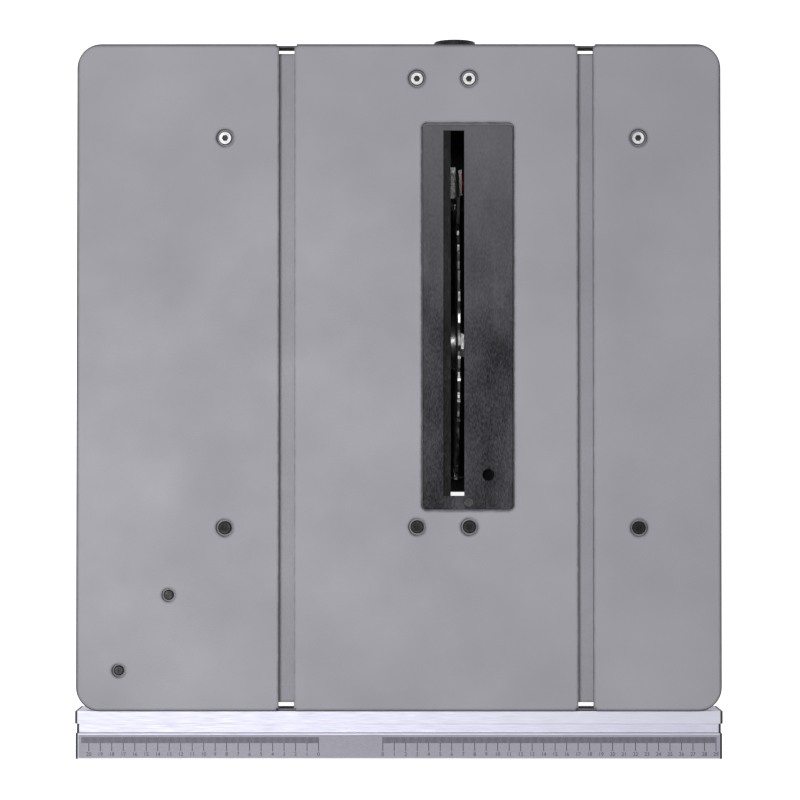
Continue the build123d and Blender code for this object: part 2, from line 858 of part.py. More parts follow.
def make_trunnion(y, screw_y, flange_y0, flange_y1):
    left = trunnion_screw_left_x - blade_x - 12
    right = trunnion_screw_right_x - blade_x + 14
    top = web_under - pivot_z
    bottom = top - trunnion_flange
    half = Circle(trunnion_outer) & (Pos(0, bottom - 100) * Rectangle(240, 200))
    wedge = outline_face(((left, bottom), (right, bottom), polar(150, trunnion_edge_right), (0, -240),
                          polar(150, trunnion_edge_left)))
    plate = half & wedge
    plate -= trunnion_slot(tilt_slot_clearance)
    plate -= Pos(*trunnion_window) * Circle(trunnion_window_radius)
    solid = prism_y(plate, y - trunnion_plate / 2, y + trunnion_plate / 2, blade_x, pivot_z)
    solid += block(blade_x + left, blade_x + right, flange_y0, flange_y1, pivot_z + bottom, pivot_z + top)
    for x in (trunnion_screw_left_x, trunnion_screw_right_x):
        solid -= rod_z(large_shank_radius, pivot_z + bottom - 14, pivot_z + top + 1, x, screw_y)
    return solid


def make_bevel_scale():
    start = crank_angle() - bevel_scale_beyond
    strip = arc_slot(bevel_scale_radius, start, tilt_range + 2 * bevel_scale_beyond, bevel_scale_width)
    return prism_y(strip, -housing_front - bevel_scale_thickness, -housing_front, blade_x, pivot_z)


def crank_angle():
    return math.degrees(math.atan2(crank_z - pivot_z, guide_x - blade_x))


def crank_circle():
    return math.hypot(crank_z - pivot_z, guide_x - blade_x)


# ---- tilt carriage ----
def plate_outline():
    """The end plate of the carriage about the tilt axis: its right edge steps in under the blade's slot."""
    x0 = guide_x - blade_x - carriage_half
    x1 = guide_x - blade_x + carriage_half
    low = bottom_beam_z0 - pivot_z - 7
    points = ((x0, -13), (x1, -13), (x1 + 10, -60), (14, -70), (14, -102), (x1 + 4, -132),
              (x1, low), (x0, low))
    return outline_face(points)


def make_carriage_plate(y0, y1, pin_y0, pin_y1, bore):
    plate = prism_y(plate_outline(), y0, y1, blade_x, pivot_z)
    for angle in tilt_pin_angles:
        x, z = polar(tilt_pin_circle, angle)
        plate += rod_y(tilt_pin_radius, pin_y0, pin_y1, blade_x + x, pivot_z + z)
    if bore:
        plate += rod_y(shaft_tube_radius, tube_front_y, y0, guide_x, crank_z)
        plate -= rod_y(crank_radius + running, tube_front_y - 1, y1 + 1, guide_x, crank_z)
    return plate


def make_beam(z0, z1):
    beam = block(beam_x0, beam_x1, front_plate_y1, rear_plate_y0, z0, z1)
    middle = (z0 + z1) / 2
    for y in (guide_front_y, guide_rear_y):
        seat = sorted((middle, z0 if z1 > arbor_z else z1))
        beam -= rod_z(guide_radius, seat[0], seat[1], guide_x, y)
    beam -= rod_z(lead_screw_radius + running, z0 - 1, z1 + 1, guide_x, lead_screw_y)
    return beam


def make_guide_rods():
    rods = []
    for y in (guide_front_y, guide_rear_y):
        rods.append(rod_z(guide_radius, (bottom_beam_z0 + bottom_beam_z1) / 2,
                          (top_beam_z0 + top_beam_z1) / 2, guide_x, y))
    return group(rods)


def make_bevel_pointer():
    y0 = tube_front_y
    y1 = tube_front_y + 2.0
    tip = bevel_scale_radius + pointer_reach
    root = crank_circle() - shaft_tube_radius - 1
    ring = prism_y(Circle(shaft_tube_radius + 3.5), y0, y1, guide_x, crank_z)
    arm = outline_face(((root, -pointer_half), (tip, -0.6), (tip, 0.6), (root, pointer_half)))
    ring += prism_y(Rot(0, 0, crank_angle()) * arm, y0, y1, blade_x, pivot_z)
    return ring - rod_y(shaft_tube_radius + seated, y0 - 1, y1 + 1, guide_x, crank_z)


# ---- mitre gears ----
def mitre_gear(turn):
    """A mitre gear on the Z axis with its apex at the origin and its body above it."""
    slope = math.sqrt(0.5)
    addendum, dedendum, dig = 1.3, 1.9, 0.8
    pitch_half = math.pi * mitre_radius / mitre_teeth / 2 * 0.72
    root_r = mitre_radius - dedendum * slope
    root_z = mitre_radius + dedendum * slope
    small = mitre_small_end
    back_z = root_z + 5.0
    bore = lead_screw_radius - 1.0
    profile = ((bore, root_z * small), (root_r * small, root_z * small), (root_r, root_z),
               (root_r, back_z), (bore, back_z))
    blank = revolve(Plane.XZ * outline_face(profile), Axis.Z)

    def tooth_section(scale):
        corners = []
        for height, half in ((-dedendum - dig, pitch_half * 1.35), (addendum, pitch_half * 0.5)):
            radius = (mitre_radius + height * slope) * scale
            z = (mitre_radius - height * slope) * scale
            corners.append((radius, half * scale, z))
        (r0, h0, z0), (r1, h1, z1) = corners
        return make_face(Polyline((r0, -h0, z0), (r1, -h1, z1), (r1, h1, z1), (r0, h0, z0), close=True))

    tooth = loft([tooth_section(small), tooth_section(1.0)])
    gear = blank
    for number in range(mitre_teeth):
        gear += Rot(0, 0, turn + 360.0 / mitre_teeth * number) * tooth
    return gear


def make_lead_screw():
    """The lead screw with its mitre gear, which meets the crank's below the nut."""
    screw = rod_z(lead_screw_radius, bottom_beam_z0 + 2, top_beam_z1 - 2, guide_x, lead_screw_y)
    gear = mitre_gear(180.0 / mitre_teeth)
    return screw + Pos(guide_x, lead_screw_y, crank_z) * gear


# ---- crank ----
def make_crank_shaft():
    """The crank shaft with its mitre gear, which ends just in front of the lead screw."""
    shaft = rod_y(crank_radius, wheel_y0 + 3, lead_screw_y - mitre_radius, guide_x, crank_z)
    gear = Rot(90, 0, 0) * mitre_gear(0.0)
    return shaft + Pos(guide_x, lead_screw_y, crank_z) * gear


def make_handwheel():
    profile = ((0, wheel_y1), (16, wheel_y1), (20, wheel_y1 - 5), (handwheel_radius - 14, wheel_y1 - 5),
               (handwheel_radius - 9, wheel_y1), (handwheel_radius - 3, wheel_y1),
               (handwheel_radius, wheel_y1 - 4), (handwheel_radius, wheel_y0 + 4),
               (handwheel_radius - 3, wheel_y0), (handwheel_radius - 10, wheel_y0),
               (handwheel_radius - 15, wheel_y0 + 5), (19, wheel_y0 + 5), (15, wheel_y0), (0, wheel_y0))
    wheel = revolve(outline_face(profile), Axis.Y)
    wheel = Pos(guide_x, 0, crank_z) * wheel
    wheel += rod_y(10.0, wheel_y0, wheel_y1 - 5, guide_x, crank_z + grip_offset)
    wheel += rod_y(grip_pin_radius, grip_y0 + 6, wheel_y0 + 2, guide_x, crank_z + grip_offset)
    return wheel - rod_y(crank_radius, wheel_y0 + 3, wheel_y1 + 1, guide_x, crank_z)


def make_crank_grip():
    y1 = wheel_y0 - 0.5
    bore = grip_pin_radius + running
    profile = ((bore, y1), (8.0, y1), (grip_radius, y1 - 10), (grip_radius - 1, y1 - 28),
               (grip_radius - 3, grip_y0 + 2), (grip_radius - 5, grip_y0), (0, grip_y0),
               (0, grip_y0 + 5.5), (bore, grip_y0 + 5.5))
    return Pos(guide_x, 0, crank_z + grip_offset) * revolve(outline_face(profile), Axis.Y)


def make_lock_lever():
    """The bevel lock: a hub on the crank shaft with one arm that points down and left."""
    arm = Pos(lever_length / 2, 0) * SlotOverall(lever_length, lever_width)
    hub = Circle(lever_hub_radius) + Rot(0, 0, lever_angle) * arm
    lever = prism_y(hub, lever_y0, lever_y0 + 10, guide_x, crank_z)
    lever = chamfer(lever.faces().sort_by(Axis.Y)[0].edges(), 1.5)
    return lever - rod_y(crank_radius + running, lever_y0 - 1, lever_y0 + 11, guide_x, crank_z)


# ---- lift bracket and gear case ----
def make_lift_bracket():
    top = arbor_z + bracket_above_arbor
    low = arbor_z - bracket_below_arbor
    body = block(bracket_x0, bracket_x1, guide_front_y, guide_rear_y, low, top)
    body += block(bracket_x0, bracket_x1, lead_screw_y, guide_front_y, arbor_z - nut_arm_below_arbor, top)
    for y in (guide_front_y, guide_rear_y):
        body += rod_z(guide_boss, low, top, guide_x, y)
    body += rod_z(nut_boss, arbor_z - nut_arm_below_arbor, top, guide_x, lead_screw_y)
    for y in (guide_front_y, guide_rear_y):
        body -= rod_z(guide_radius + running, low - 1, top + 1, guide_x, y)
    body -= rod_z(lift_nut_radius, arbor_z - nut_arm_below_arbor - 1, top + 1, guide_x, lead_screw_y)
    body -= rod_x(motor_shaft_radius + 8, bracket_x0 - 1, bracket_x1 + 1, blade_y, motor_z)
    return body


def make_lift_nut():
    low = arbor_z - nut_arm_below_arbor
    top = arbor_z + bracket_above_arbor
    nut = rod_z(lift_nut_radius, low, top, guide_x, lead_screw_y)
    return nut - rod_z(lead_screw_radius + running, low - 1, top + 1, guide_x, lead_screw_y)


def case_x(step):
    """The gear case's planes from left to right, measured from the bracket and the blade."""
    right = blade_x - 10.6
    return {"neck": bracket_x1, "body": beam_x1 + 1.5, "seat": beam_x1 + 5, "split": right - 13.5,
            "gear": right - 17.5, "right": right}[step]


def case_outline():
    top = Circle(case_top_radius)
    low = Pos(0, motor_z - arbor_z) * Circle(case_low_radius)
    return make_hull((top + low).edges())


def gear_space():
    gear = Circle(gear_module * arbor_gear_teeth / 2 + 3.0)
    pinion = Pos(0, motor_z - arbor_z) * Circle(gear_module * pinion_teeth / 2 + 3.0)
    return gear + pinion


def make_gear_case():
    case = prism_x(case_outline(), case_x("body"), case_x("split"), blade_y, arbor_z)
    case += rod_x(case_low_radius, case_x("neck"), case_x("body") + 1, blade_y, motor_z)
    case -= rod_x(left_bearing_radius, case_x("seat") - 3, case_x("split") + 1, blade_y, arbor_z)
    case -= prism_x(gear_space(), case_x("gear") - 1, case_x("split") + 1, blade_y, arbor_z)
    return case - rod_x(motor_shaft_radius + running, bracket_x0, case_x("split") + 1, blade_y, motor_z)


def make_gear_cover():
    cover = prism_x(case_outline(), case_x("split"), case_x("right"), blade_y, arbor_z)
    cover -= rod_x(right_bearing_radius, case_x("split") - 1, case_x("right") + 1, blade_y, arbor_z)
    inner = prism_x(gear_space(), case_x("split") - 1, case_x("right") - 9, blade_y, arbor_z)
    return cover - inner


def make_arbor_bearings():
    left = rod_x(left_bearing_radius, case_x("seat") - 3, case_x("gear") - 1.2, blade_y, arbor_z)
    left -= rod_x(arbor_thin_radius + running, case_x("seat") - 4, case_x("gear"), blade_y, arbor_z)
    right = rod_x(right_bearing_radius, case_x("right") - 9, case_x("right"), blade_y, arbor_z)
    right -= rod_x(arbor_thick_radius + running, case_x("right") - 10, case_x("right") + 1, blade_y, arbor_z)
    return group([left, right])


def spur_outline(teeth, turn):
    """A straight-sided spur gear: the teeth are thin enough to leave backlash."""
    pitch = gear_module * teeth / 2
    tip = pitch + 1.1
    root = pitch - 1.7
    quarter = 180.0 / teeth / 2
    points = []
    for number in range(teeth):
        middle = turn + 360.0 / teeth * number
        for radius, share in ((root, -1.15), (tip, -0.45), (tip, 0.45), (root, 1.15)):
            points.append(polar(radius, middle + share * quarter))
    return outline_face(points)


def make_arbor_gear():
    x0 = case_x("gear")
    gear = prism_x(spur_outline(arbor_gear_teeth, -90.0), x0, x0 + gear_width, blade_y, arbor_z)
    return gear - rod_x(arbor_thick_radius + seated, x0 - 1, x0 + gear_width + 1, blade_y, arbor_z)


def make_arbor_shaft():
    flange_left = blade_x - blade_body / 2 - 7.0
    shaft = rod_x(arbor_thin_radius, case_x("seat") - 2, case_x("gear") - 0.6, blade_y, arbor_z)
    shaft += rod_x(arbor_thick_radius, case_x("gear") - 0.6, flange_left, blade_y, arbor_z)
    shaft += rod_x(blade_bore / 2 - 0.05, flange_left, blade_x + 18.0, blade_y, arbor_z)
    return chamfer(shaft.faces().sort_by(Axis.X)[-1].edges(), 1.0)


def make_inner_flange():
    x1 = blade_x - blade_body / 2
    flange = rod_x(inner_flange_radius, x1 - 4.0, x1, blade_y, arbor_z)
    flange += rod_x(15.0, x1 - 7.0, x1 - 4.0, blade_y, arbor_z)
    return flange - rod_x(blade_bore / 2, x1 - 8, x1 + 1, blade_y, arbor_z)


def make_outer_flange():
    x0 = blade_x + blade_body / 2
    flange = rod_x(outer_flange_radius, x0, x0 + outer_flange_width, blade_y, arbor_z)
    return flange - rod_x(blade_bore / 2, x0 - 1, x0 + 5, blade_y, arbor_z)


def make_arbor_nut():
    x0 = blade_x + blade_body / 2 + outer_flange_width
    nut = hex_x(arbor_nut_across, x0, x0 + 9.0, blade_y, arbor_z)
    return nut - rod_x(blade_bore / 2, x0 - 1, x0 + 10, blade_y, arbor_z)


def blade_outline():
    """The plate's rim with one gullet behind each tooth."""
    points = []
    pitch = 360.0 / blade_teeth
    for number in range(blade_teeth):
        start = 90.0 + pitch * number
        points.append(polar(blade_radius - 1.0, start))
        points.append(polar(blade_radius - 2.4, start + pitch * 0.42))
        points.append(polar(blade_radius - 9.0, start + pitch * 0.72))
        points.append(polar(blade_radius - 7.0, start + pitch * 0.96))
    return outline_face(points)


def make_blade():
    x0 = blade_x - blade_body / 2
    x1 = blade_x + blade_body / 2
    plate = prism_x(blade_outline(), x0, x1, blade_y, arbor_z)
    return plate - rod_x(blade_bore / 2, x0 - 1, x1 + 1, blade_y, arbor_z)


def make_carbide_tips():
    """One tip on the front of each tooth, wider than the plate."""
    pitch = 360.0 / blade_teeth
    tips = []
    for number in range(blade_teeth):
        start = 90.0 + pitch * number
        points = (polar(blade_radius, start), polar(blade_radius - 0.6, start - 1.1),
                  polar(blade_radius - 6.2, start - 0.55), polar(blade_radius - 6.0, start - 0.05),
                  polar(blade_radius - 1.0, start))
        x0 = blade_x - blade_kerf / 2
        tips.append(prism_x(outline_face(points), x0, x0 + blade_kerf, blade_y, arbor_z))
    return tips


# ---- motor ----
def motor_x(step):
    """The motor's planes, measured from the lift bracket."""
    right = bracket_x0
    left = right - motor_length
    return {"right": right, "left": left, "cap": left + motor_cap_length,
            "fan": right - motor_fan_in, "core": right - motor_core_in}[step]


def make_motor_housing():
    x0, x1 = motor_x("cap"), motor_x("right")
    shell = rod_x(motor_radius, x0, x1, blade_y, motor_z)
    shell -= rod_x(motor_radius - motor_wall, x0 - 1, x1 - 4, blade_y, motor_z)
    shell -= rod_x(motor_shaft_radius + 3, x1 - 5, x1 + 1, blade_y, motor_z)
    for number in range(motor_ribs):
        turn = Pos(0, blade_y, motor_z) * Rot(360.0 / motor_ribs * number, 0, 0)
        shell += turn * block(x0 + 6, x1 - 26, -1.5, 1.5, motor_radius - 1, motor_radius + 2.0)
        shell -= turn * block(x1 - 21, x1 - 9, -3.0, 3.0, motor_radius - 6, motor_radius + 3)
    return shell


def make_motor_end_cap():
    x0, x1 = motor_x("left"), motor_x("cap")
    cap = rod_x(motor_radius, x0, x1, blade_y, motor_z)
    cap = chamfer(cap.faces().sort_by(Axis.X)[0].edges(), 7.0)
    cap -= rod_x(motor_radius - motor_wall - 7, x0 + 4, x1 + 1, blade_y, motor_z)
    cap += rod_x(12.0, x0 + 3, x0 + 12, blade_y, motor_z)
    cap -= rod_x(motor_shaft_radius + running, x0 + 4, x0 + 13, blade_y, motor_z)
    for number in range(motor_cap_vents):
        turn = Pos(0, blade_y, motor_z) * Rot(360.0 / motor_cap_vents * number, 0, 0)
        cap -= turn * block(x0 - 1, x0 + 5, -2.0, 2.0, 17.0, 34.0)
    return cap


def make_motor_stator():
    x0 = motor_x("core") - rotor_length
    ring = rod_x(motor_radius - motor_wall, x0, motor_x("core"), blade_y, motor_z)
    return ring - rod_x(rotor_radius + 1.0, x0 - 1, motor_x("core") + 1, blade_y, motor_z)


def make_motor_rotor():
    x0 = motor_x("core") - rotor_length
    shaft = rod_x(motor_shaft_radius, motor_x("left") + 4.5, case_x("gear"), blade_y, motor_z)
    shaft += rod_x(rotor_radius, x0, motor_x("core"), blade_y, motor_z)
    shaft += rod_x(13.0, x0 - 16, x0 - 3, blade_y, motor_z)
    pinion = spur_outline(pinion_teeth, 90.0 + 180.0 / pinion_teeth)
    return shaft + prism_x(pinion, case_x("gear"), case_x("gear") + gear_width, blade_y, motor_z)


def make_motor_fan():
    x0 = motor_x("fan")
    fan = rod_x(fan_radius, x0, x0 + 2.0, blade_y, motor_z) + rod_x(10.0, x0, x0 + 9.0, blade_y, motor_z)
    for number in range(fan_blades):
        turn = Pos(0, blade_y, motor_z) * Rot(360.0 / fan_blades * number, 0, 0)
        fan += turn * block(x0 + 2, x0 + 9, -1.0, 1.0, 9.0, fan_radius)
    return fan - rod_x(motor_shaft_radius + seated, x0 - 1, x0 + 10, blade_y, motor_z)


# ---- blade shroud ----
def shroud_face(radius):
    """The lower part of a disc about the arbor, below the flange."""
    return Circle(radius) & (Pos(0, -shroud_top_below_arbor - 100) * Rectangle(400, 200))


def make_blade_shroud():
    x0 = case_x("right")
    x1 = x0 + shroud_width
    middle = (x0 + x1) / 2
    outer = prism_x(shroud_face(shroud_radius), x0, x1, blade_y, arbor_z)
    inner = Circle(shroud_radius - shroud_wall) & (Pos(0, -200.0) * Rectangle(500, 400))
    shroud = outer - prism_x(inner, x0 + shroud_wall, x1 - shroud_wall, blade_y, arbor_z)
    start = blade_y + 70.0
    shroud += rod_y(outlet_radius, start, start + outlet_length, middle, outlet_z) - outer
    shroud -= rod_y(outlet_radius - shroud_wall, start - 20, start + outlet_length + 1, middle, outlet_z)
    return shroud


# ---- riving knife ----
def ring_sector(inner, outer, start, end):
    ring = Circle(outer) - Circle(inner)
    middle = (start + end) / 2
    half = (end - start) / 2
    wedge = outline_face(((0, 0), polar(400, middle - half), polar(400, middle), polar(400, middle + half)))
    return ring & wedge


def knife_bolt_place():
    y, z = polar((knife_inner + knife_outer) / 2, knife_clamp_angle)
    return blade_y + y, arbor_z + z


def make_riving_knife():
    sector = ring_sector(knife_inner, knife_outer, knife_low_angle, knife_top_angle)
    circle = (knife_inner + knife_outer) / 2
    slot = arc_slot(circle, knife_clamp_angle, -knife_range, 2 * knife_bolt_radius + 0.6)
    sector -= slot
    half = knife_thickness / 2
    return prism_x(sector, blade_x - half, blade_x + half, blade_y, arbor_z)


def make_knife_holder():
    """A cast arm from the gear case to the pad that the knife is clamped against."""
    pad_x0 = slot_through_left + 0.2
    pad_x1 = blade_x - knife_thickness / 2
    pad = ring_sector(knife_inner, knife_outer, knife_pad_low, knife_pad_top)
    holder = prism_x(pad, pad_x0, pad_x1, blade_y, arbor_z)
    arm = outline_face(((28.0, -14.0), (knife_inner + 2, -14.0), (knife_inner + 12, 14.0), (28.0, 14.0)))
    holder += prism_x(arm, case_x("split"), case_x("right"), blade_y, arbor_z)
    bridge = outline_face(((knife_inner, -12.0), (knife_outer - 4, -12.0), (knife_outer - 4, 14.0),
                           (knife_inner, 14.0)))
    holder += prism_x(bridge, case_x("right") - 5, pad_x0 + 1, blade_y, arbor_z)
    arm_join = outline_face(((knife_inner - 8, -12.0), (knife_outer - 4, -12.0), (knife_outer - 4, 14.0),
                             (knife_inner - 8, 14.0)))
    holder += prism_x(arm_join, case_x("split"), case_x("right"), blade_y, arbor_z)
    case = prism_x(case_outline(), case_x("body"), case_x("right"), blade_y, arbor_z)
    y, z = knife_bolt_place()
    return holder - case - rod_x(knife_bolt_radius, 0, 100, y, z)


def make_knife_clamp():
    """The clamp plate on the knife's right side and its bolt, which passes through the knife's slot."""
    x0 = blade_x + knife_thickness / 2 + 0.15
    pad = ring_sector(knife_inner + 3, knife_outer - 2, -6.0, 12.0)
    plate = prism_x(pad, x0, x0 + 3.5, blade_y, arbor_z)
    y, z = knife_bolt_place()
    bolt = rod_x(knife_bolt_radius - 0.05, case_x("split") + 2, x0 + 14.0, y, z)
    return plate + bolt


def make_knife_lever():
    y, z = knife_bolt_place()
    x0 = blade_x + knife_thickness / 2 + 0.15 + 3.7
    shape = Circle(9.0) + Rot(0, 0, -90) * Pos(22, 0) * SlotOverall(44.0, 11.0)
    lever = prism_x(shape, x0, x0 + 7.0, y, z)
    return lever - rod_x(knife_bolt_radius - 0.05 + running, x0 - 1, x0 + 8, y, z)


# ---- switch ----
def make_switch_bracket():
    """A folded sheet: one plate under the table and one hanging in front of the front panel."""
    top = bracket_block(0.0, web_under - switch_plate)
    wall = block(switch_plate_x0, switch_plate_x1, switch_plate_y0, switch_plate_y0 + switch_plate,
                 switch_plate_low, web_under)
    bracket = top + wall
    for x, y in bracket_screws:
        bracket -= rod_z(small_shank_radius, 0, web_under + 1, x, y)
    return bracket


def make_switch_box():
    box = block(switch_x - switch_half, switch_x + switch_half, switch_front, switch_back,
                switch_z0, switch_z1)
    box = fillet(box.edges().filter_by(Axis.Y), 7.0)
    hollow = block(switch_x - switch_half + switch_wall, switch_x + switch_half - switch_wall,
                   switch_front - 1, switch_back - switch_wall,
                   switch_z0 + switch_wall, switch_z1 - switch_wall)
    return box - fillet(hollow.edges().filter_by(Axis.Y), 4.0)


def make_switch_face():
    face = block(switch_x - switch_half, switch_x + switch_half, switch_front - 3, switch_front,
                 switch_z0, switch_z1)
    face = fillet(face.edges().filter_by(Axis.Y), 7.0)
    for z, radius in ((start_z, start_radius), (stop_z, stop_radius)):
        face += rod_y(radius + 4.0, switch_front - 6, switch_front - 3, switch_x, z)
        face -= rod_y(radius + button_clearance, switch_front - 7, switch_front + 1, switch_x, z)
    return face


def make_start_button():
    button = rod_y(start_radius, switch_front - 8, switch_front + 8, switch_x, start_z)
    return chamfer(button.faces().sort_by(Axis.Y)[0].edges(), 1.0)


def make_stop_button():
    stem = rod_y(stop_radius, switch_front - 11, switch_front + 8, switch_x, stop_z)
    head = rod_y(stop_head_radius, switch_front - 19, switch_front - 11, switch_x, stop_z)
    head = fillet(head.faces().sort_by(Axis.Y)[0].edges(), 4.0)
    return stem + head


def make_cable_gland():
    gland = rod_y(gland_radius - 0.05, rear_inner - 6, housing_rear, gland_x, gland_z)
    gland += hex_y(gland_across, housing_rear, housing_rear + 6, gland_x, gland_z)
    gland += rod_y(8.5, housing_rear + 6, housing_rear + 18, gland_x, gland_z)
    gland += hex_y(gland_across, rear_inner - 11, rear_inner, gland_x, gland_z)
    return gland - rod_y(gland_bore, rear_inner - 12, housing_rear + 19, gland_x, gland_z)


def make_dust_port():
    port = rod_y(port_radius, rear_inner - 6, port_reach, blade_x, port_z)
    port += rod_y(port_radius + port_flange, housing_rear, housing_rear + 4, blade_x, port_z)
    return port - rod_y(port_radius - port_wall, rear_inner - 7, port_reach + 1, blade_x, port_z)


# ---- write every node ----
def main():
    os.makedirs("parts", exist_ok=True)
    nodes = {
        "table_top": make_table_top(),
        "table_insert": make_table_insert(),
        "insert_screw": make_insert_screw(),
        "table_screws": group(socket_screw(x, y) for x, y in large_screw_places() + trunnion_screw_places()),
        "bracket_screws": group(make_bracket_screw(x, y) for x, y in bracket_screws),
        "front_rail": make_front_rail(),
        "rail_scale": make_rail_scale(),
        "rail_end_caps": make_rail_end_caps(),
        "rail_bolts": group(rail_bolt(x) for x in rail_bolt_places()),
        "base_frame": make_base_frame(),
        "feet": group(make_foot(x, y) for x, y in foot_places()),
        "corner_pillars": group(make_pillar(sx, sy) for sx in (-1, 1) for sy in (-1, 1)),
        "front_panel": make_front_panel(),
        "rear_panel": make_rear_panel(),
        "left_panel": make_side_panel(-1),
        "right_panel": make_side_panel(1),
        "carry_handles": group(make_carry_handle(side) for side in (-1, 1)),
        "panel_screws": make_panel_screws(),
        "table_bearers": group(make_bearer(x) for x in (table_screw_left_x, table_screw_right_x)),
        "front_trunnion": make_trunnion(trunnion_front_y, trunnion_screw_front_y,
                                        trunnion_front_y - 12, trunnion_front_y + 10),
        "rear_trunnion": make_trunnion(trunnion_rear_y, trunnion_screw_rear_y,
                                       trunnion_rear_y - 12, trunnion_rear_y + 9),
        "bevel_scale": make_bevel_scale(),
        "switch_bracket": make_switch_bracket(),
        "switch_box": make_switch_box(),
        "switch_face": make_switch_face(),
        "start_button": make_start_button(),
        "stop_button": make_stop_button(),
        "cable_gland": make_cable_gland(),
        "dust_port": make_dust_port(),
        "carriage_front": make_carriage_plate(front_plate_y0, front_plate_y1,
                                              front_trunnion_y0 - 1, front_plate_y0, True),
        "carriage_rear": make_carriage_plate(rear_plate_y0, rear_plate_y1, rear_plate_y1,
                                             trunnion_rear_y + trunnion_plate / 2 + 1, False),
        "carriage_beams": group([make_beam(top_beam_z0, top_beam_z1),
                                 make_beam(bottom_beam_z0, bottom_beam_z1)]),
        "guide_rods": make_guide_rods(),
        "bevel_pointer": make_bevel_pointer(),
        "lead_screw": make_lead_screw(),
        "crank_shaft": make_crank_shaft(),
        "handwheel": make_handwheel(),
        "crank_grip": make_crank_grip(),
        "bevel_lock_lever": make_lock_lever(),
        "lift_bracket": make_lift_bracket(),
        "lift_nut": make_lift_nut(),
        "gear_case": make_gear_case(),
        "gear_cover": make_gear_cover(),
        "arbor_bearings": make_arbor_bearings(),
        "motor_housing": make_motor_housing(),
        "motor_end_cap": make_motor_end_cap(),
        "motor_stator": make_motor_stator(),
        "blade_shroud": make_blade_shroud(),
        "knife_holder": make_knife_holder(),
        "knife_clamp": make_knife_clamp(),
        "knife_lever": make_knife_lever(),
        "riving_knife": make_riving_knife(),
        "arbor_shaft": make_arbor_shaft(),
        "arbor_gear": make_arbor_gear(),
        "blade_flanges": group([make_inner_flange(), make_outer_flange()]),
        "arbor_nut": make_arbor_nut(),
        "blade": make_blade() + make_carbide_tips(),
        "motor_rotor": make_motor_rotor(),
        "motor_fan": make_motor_fan(),
    }
    for node, solid in nodes.items():
        write(node, solid)
    print("nodes", len(nodes), "origin_y", origin_y)


main()
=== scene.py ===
import json
import math

import bmesh
import bpy
from mathutils import Matrix, Vector


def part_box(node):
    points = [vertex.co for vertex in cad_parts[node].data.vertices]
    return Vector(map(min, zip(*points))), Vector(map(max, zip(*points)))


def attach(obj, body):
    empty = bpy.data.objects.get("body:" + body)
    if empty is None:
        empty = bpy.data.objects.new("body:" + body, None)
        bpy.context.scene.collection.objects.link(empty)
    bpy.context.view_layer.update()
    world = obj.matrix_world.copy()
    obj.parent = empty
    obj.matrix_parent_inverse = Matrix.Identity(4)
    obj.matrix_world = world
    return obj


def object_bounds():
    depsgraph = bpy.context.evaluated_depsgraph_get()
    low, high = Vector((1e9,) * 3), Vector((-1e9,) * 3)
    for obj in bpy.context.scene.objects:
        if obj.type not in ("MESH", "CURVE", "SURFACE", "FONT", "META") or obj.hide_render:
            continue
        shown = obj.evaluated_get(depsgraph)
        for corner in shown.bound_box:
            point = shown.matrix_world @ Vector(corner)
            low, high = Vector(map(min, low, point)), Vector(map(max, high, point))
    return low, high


# Bench table saw seen from straight above, blade lowered. Metres; X right, Y to the rear, Z up.

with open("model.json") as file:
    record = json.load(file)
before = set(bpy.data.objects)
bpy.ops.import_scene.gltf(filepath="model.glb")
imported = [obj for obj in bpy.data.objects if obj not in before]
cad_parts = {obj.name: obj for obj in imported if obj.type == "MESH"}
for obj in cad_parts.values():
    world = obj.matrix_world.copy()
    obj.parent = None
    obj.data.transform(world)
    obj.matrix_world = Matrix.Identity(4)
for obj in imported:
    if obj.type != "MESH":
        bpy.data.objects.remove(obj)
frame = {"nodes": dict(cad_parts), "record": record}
cad_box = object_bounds()
table_low, table_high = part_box("table_top")
screw_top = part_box("table_screws")[1].z
insert_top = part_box("table_insert")[1].z
blade_low, blade_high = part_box("blade")

# ---- view and light ----
CAMERA_DISTANCE = 2.0
CAMERA_FAR = 50.0
CAMERA_LENS = 103.84
CAMERA_AIM = (0.0010, -0.0093)
CAMERA_TOWARDS_FRONT = 0.035
FLOOR_SIZE = 8.0
FLOOR_GAP = 0.0005
FLOOR_COLOUR = (0.86, 0.86, 0.86, 1.0)
FLOOR_ROUGHNESS = 0.9
FLOOR_GLOW = 0.86
SKY = (1.0, 1.0, 1.0, 1.0)
SKY_STRENGTH = 0.18
KEY_PLACE = (-0.52, -0.10, 2.75)
KEY_SIZE = (0.55, 0.55)
KEY_POWER = 35.0
TOP_PLACE = (0.05, 0.14, 3.4)
TOP_SIZE = (0.3, 0.3)
TOP_POWER = 14.0
SIDE_PLACE = (-2.2, -0.9, 1.2)
SIDE_SIZE = (1.8, 1.2)
SIDE_POWER = 16.0

# ---- front scale ----
GRADUATION_LIFT = 0.00008
MILLIMETRE = 0.001
FONT_SIZE_TO_HEIGHT = 1.4
LEFT_ZERO_X = -0.0699
RIGHT_ZERO_X = -0.0140
LEFT_CENTIMETRES = 20
LEFT_EXTRA_MILLIMETRES = 6
RIGHT_CENTIMETRES = 29
RIGHT_EXTRA_MILLIMETRES = 0
FINE_TICK_HALF = 0.0003
FINE_TICK_LENGTH = 0.0052
LONG_TICK_HALF = 0.0003
LONG_TICK_LENGTH = 0.0070
FINE_TICK_FROM_REAR = 0.0019
DIGIT_HEIGHT = 0.0033
DIGIT_FROM_FRONT = 0.0016

# ---- bevel scale ----
PIVOT_BELOW_TABLE = 0.007
BEVEL_INNER_RADIUS = 0.1496
BEVEL_TICK = 0.0040
BEVEL_LONG_TICK = 0.0060
BEVEL_TICK_HALF = 0.00022
BEVEL_DIGIT_RADIUS = 0.1612
BEVEL_DIGIT_HEIGHT = 0.0042
BEVEL_DEGREES = 45

